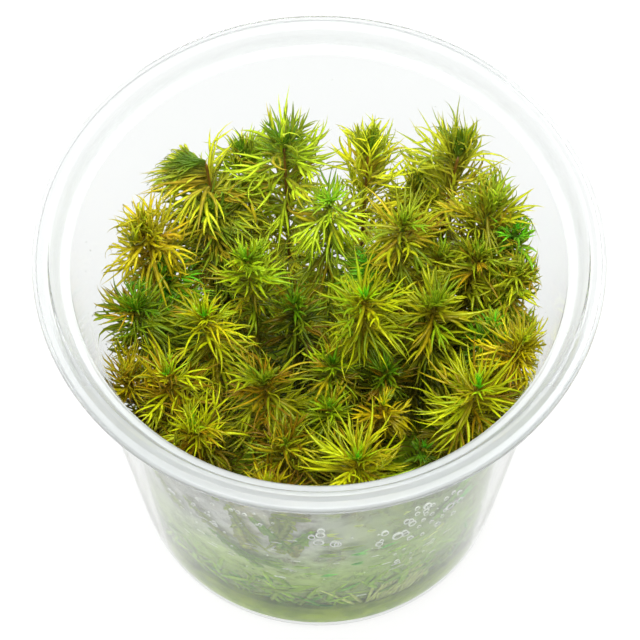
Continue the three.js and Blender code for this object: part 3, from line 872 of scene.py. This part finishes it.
def dewFilmMaterial():
    material = bpy.data.materials.new("fineDew")
    shader = shaderOf(material)
    shader.inputs["Roughness"].default_value = 0.6
    shader.inputs["Specular IOR Level"].default_value = 0.1
    tree = material.node_tree
    place, axes = objectPlace(tree)
    x, y, z = axes["X"], axes["Y"], axes["Z"]
    # green with the leaves' light low down and on the right, pale higher up
    height = remap(tree, z, 0.030, 0.052)
    colour = rampOf(tree, height, [(0.0, (0.68, 0.88, 0.27)), (1.0, (0.93, 0.95, 0.89))])
    colour = mixColours(tree, remap(tree, x, -0.002, 0.014, 0.0, 0.8), colour, (0.55, 0.77, 0.20))
    tree.links.new(colour, shader.inputs["Base Color"])
    cover = remap(tree, noiseOf(tree, place, 190.0, 6.0, 0.65), 0.36, 0.56, 0.22, 0.62)
    # thinner low down and on the right, gone below the rim and round the sides
    for fade in ((z, 0.013, 0.036, 0.5, 1.0), (x, 0.002, 0.016, 1.0, 0.6), (z, 0.076, 0.071),
                 (y, -0.006, -0.020)):
        cover = combined(tree, cover, remap(tree, *fade))
    tree.links.new(cover, shader.inputs["Alpha"])
    return material


def makeDewFilm():
    near = cupShape["wall"] + dewFilm["inset"]
    far = near + dewFilm["thickness"]
    low, high = dewFilm["low"], dewFilm["high"]
    start = -math.pi / 2 - math.radians(dewFilm["reach"])
    shape = bmesh.new()
    corners = [(wallRadius(near, low), low), (wallRadius(near, high), high),
               (wallRadius(far, high), high), (wallRadius(far, low), low)]
    east, north = math.cos(start) * mm, math.sin(start) * mm
    face = shape.faces.new([shape.verts.new((r * east, r * north, z * mm)) for r, z in corners])
    bmesh.ops.spin(shape, geom=[face], cent=(0, 0, 0), axis=(0, 0, 1),
                   angle=math.radians(2 * dewFilm["reach"]), steps=dewFilm["steps"])
    bmesh.ops.recalc_face_normals(shape, faces=shape.faces)
    for side in shape.faces:
        side.smooth = len(side.verts) == 4
    film = objectOf("dewFilm", shape)
    film.data.materials.append(dewFilmMaterial())
    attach(film, "root")
    print("dew film made:", len(film.data.polygons), "faces")


def makeDew():
    parts = MeshParts()
    for patch in dewPatches:
        addDrops(parts, patch, stretch=(0.85, 1.15), tall=1.5)
    for patch in streakPatches:
        addDrops(parts, patch, stretch=(3, 8))
    dew = parts.build("dewOnWall")
    dew.data.materials.append(clearWaterMaterial())
    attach(dew, "root")
    print("dew made:", len(dew.data.polygons), "faces")


# Bits of leaf that cling to the wall: angle from the front, height, length and slope, in degrees and mm
clingingBits = {
    "yellow": [(2, 57.8, 2.2, 5), (12, 57.3, 2.0, 0), (21.5, 62, 1.4, 0), (9, 61.8, 1.6, 20),
               (4, 56, 1.8, 12), (29, 41, 3.6, 10), (33, 43.5, 2.4, 24)],
    "olive": [(-1.5, 52.7, 4.8, 3), (6, 49.6, 4.6, -3), (-12, 34, 3.0, -4), (26, 33, 3.0, 8)],
    "green": [(0, 46, 4.8, 2), (25, 44.6, 3.0, 14), (19, 42, 3.6, 12), (20, 32, 2.4, 10), (-7, 39, 3.0, 0),
              (-15, 40, 3.4, -8), (14, 36, 3.4, 6), (-4, 35, 2.6, -5), (24, 36.5, 3.0, 15)],
    "bright": [(8.5, 45.4, 4.2, 0), (17, 46.2, 3.2, 8), (1, 33.6, 3.2, 6), (36.5, 52.6, 6.5, 42),
               (9, 39.5, 2.6, 0)],
}
# Whole fronds pressed flat on the wall, given in the same way
pressedFronds = {
    "olive": [(-29, 76, 11, -75), (-22.5, 66, 24, -80), (-7, 67, 23, -96), (-11, 66, 9, -86),
              (-36, 58, 16, -58), (-48, 64, 18, -66), (-11.5, 67, 7, -8)],
    "green": [(-17, 63, 18, -66), (-1.5, 60, 12, -108), (-30, 47, 17, -52), (41, 66, 18, -112),
              (-24, 42, 12, -30)],
    "yellow": [(-21.5, 56, 13, -84), (-5.5, 54, 10, -95)],
}
frondShape = {
    "pairs": 9,                         # of lobes
    "splay": (18, 50),                  # degrees from the axis
    "axisWidth": 1.9,
    "lobeWidth": (1.1, 2.0),
    "lobeLength": (1.5, 0.09),          # mm, and this share of the frond's length
    "inset": 0.4,
}
# Leaves that stand from the gel up: a low belt a few mm in from the wall, in three tints, and long yellow
# strands on the wall itself. otherWay is the share of them that leans to the left
lowBelt = {"otherWay": 0.5, "inset": (0.8, 5.0), "steps": 5}
lowGrowth = {
    "green": {**lowBelt, "count": 1500, "angle": (-85, 85), "foot": (3, 25), "length": (5, 12),
              "slope": (20, 85), "width": (0.9, 1.6)},
    "dark": {**lowBelt, "count": 380, "angle": (-180, 180), "foot": (6, 27), "length": (4, 10),
             "slope": (10, 80), "width": (0.7, 1.2)},
    "olive": {**lowBelt, "count": 700, "angle": (-180, 180), "foot": (3, 24), "length": (6, 13),
              "slope": (10, 85), "width": (0.7, 1.2)},
    "yellow": {"otherWay": 0.1, "steps": 8, "count": 46, "angle": (12, 27), "foot": (3, 10),
               "length": (14, 36), "slope": (60, 88), "width": (0.6, 1.0)},
}
onWallInset = 0.3                       # mm from the wall to a leaf that clings to it


# Blades that follow the wall round: the angle, height, length and slope of each, and how far it keeps off
def wallBlades(angle, height, length, slope, width, inset, age=0.3):
    reach = wallRadius(cupShape["wall"] + inset, height)
    root = np.stack([reach * np.sin(angle), -reach * np.cos(angle), height], axis=-1)
    back = np.cos(slope) < 0
    rise = np.where(back, np.pi - slope, slope)
    heading = angle + np.where(back, np.pi, 0)
    level = np.abs(np.cos(slope)) * length / reach
    sweep = np.where(back, -level, level)
    return {"root": root, "azimuth": heading, "rise": rise, "bend": luck.normal(0, 0.25, len(angle)),
            "sweep": sweep, "roll": luck.normal(0, 0.35, len(angle)), "length": length, "width": width,
            "age": np.full(len(angle), age), "tone": luck.uniform(0.25, 0.75, len(angle))}


def frondBlades(row):
    angle, height, length, slope = row
    pairs = frondShape["pairs"]
    share = np.linspace(0.08, 0.9, pairs)
    reach = wallRadius(cupShape["wall"], height)
    turn = math.radians(slope)
    along = math.radians(angle) + share * length * math.cos(turn) / reach
    up = height + share * length * math.sin(turn)
    side = np.tile([-1.0, 1.0], (pairs, 1))
    lobe = side * np.radians(luck.uniform(*frondShape["splay"], (pairs, 2)))
    shortest, longer = frondShape["lobeLength"]
    size = (shortest + longer * length) * np.sin(np.pi * (0.15 + 0.8 * share))
    size = size[:, None] * luck.uniform(0.6, 1.3, (pairs, 2))
    angles = np.concatenate([[math.radians(angle)], np.repeat(along, 2)])
    heights = np.concatenate([[height], np.repeat(up, 2)])
    lengths = np.concatenate([[length], size.reshape(-1)])
    slopes = np.concatenate([[turn], (turn + lobe).reshape(-1)])
    widths = np.concatenate([[frondShape["axisWidth"]], luck.uniform(*frondShape["lobeWidth"], 2 * pairs)])
    return angles, heights, lengths, slopes, widths


def standingBlades(patch):
    count = patch["count"]
    slope = np.radians(luck.uniform(*patch["slope"], count))
    slope = np.where(luck.uniform(size=count) < patch["otherWay"], np.pi - slope, slope)
    angle = np.radians(luck.uniform(*patch["angle"], count))
    foot = luck.uniform(*patch["foot"], count)
    length = luck.uniform(*patch["length"], count)
    width = luck.uniform(*patch["width"], count)
    inset = luck.uniform(*patch["inset"], count) if "inset" in patch else onWallInset
    return wallBlades(angle, foot, length, slope, width, inset)


def clingingBlades(row, count=3):
    angle, height, length, slope = [np.repeat(value, count) for value in row]
    angle = np.radians(angle) + luck.normal(0, 0.006, count)
    height = height + luck.normal(0, 0.25, count)
    length = length * luck.uniform(0.6, 1.1, count)
    slope = np.radians(slope) + luck.normal(0, 0.16, count)
    return wallBlades(angle, height, length, slope, luck.uniform(0.8, 1.3, count), onWallInset)


def makeWallGrowth(tint):
    parts = MeshParts()
    for row in clingingBits.get(tint, []):
        addLeaves(parts, clingingBlades(row), twist=math.pi / 2)
    for row in pressedFronds.get(tint, []):
        addLeaves(parts, wallBlades(*frondBlades(row), frondShape["inset"], age=1.0), twist=math.pi / 2)
    if tint in lowGrowth:
        addLeaves(parts, standingBlades(lowGrowth[tint]), lowGrowth[tint]["steps"], twist=math.pi / 2)
    parts.points = [keptInside(points, soft=0.3, room=0.45, inGel=True) for points in parts.points]
    piece = parts.build("wall-" + tint + "-leaves")
    # the wall leaves' pale, bright colours carry painted light
    piece.data.materials.append(leafMaterial(tint + "WallLeaf", wallTints[tint], leafFinish["wall"]))
    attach(piece, "root")
    print("leaves along the wall made:", tint)


addCamera()
addStage()
print("stage set")
makeCup()
makeGel()
leafMaterials = {tint: leafMaterial(tint + "Leaf", tints[tint], leafFinish["open"]) for tint in tints}
stemMaterials = {name: stemMaterial(name + "Stem", colour) for name, colour in stemColours.items()}
triangles = sum(makeShoot(name, shoot) for name, shoot in shootTable.items())
print("shoots made:", len(shootTable), "with", triangles, "triangles")
makeDew()
makeDewFilm()
for wallTint in wallTints:
    makeWallGrowth(wallTint)
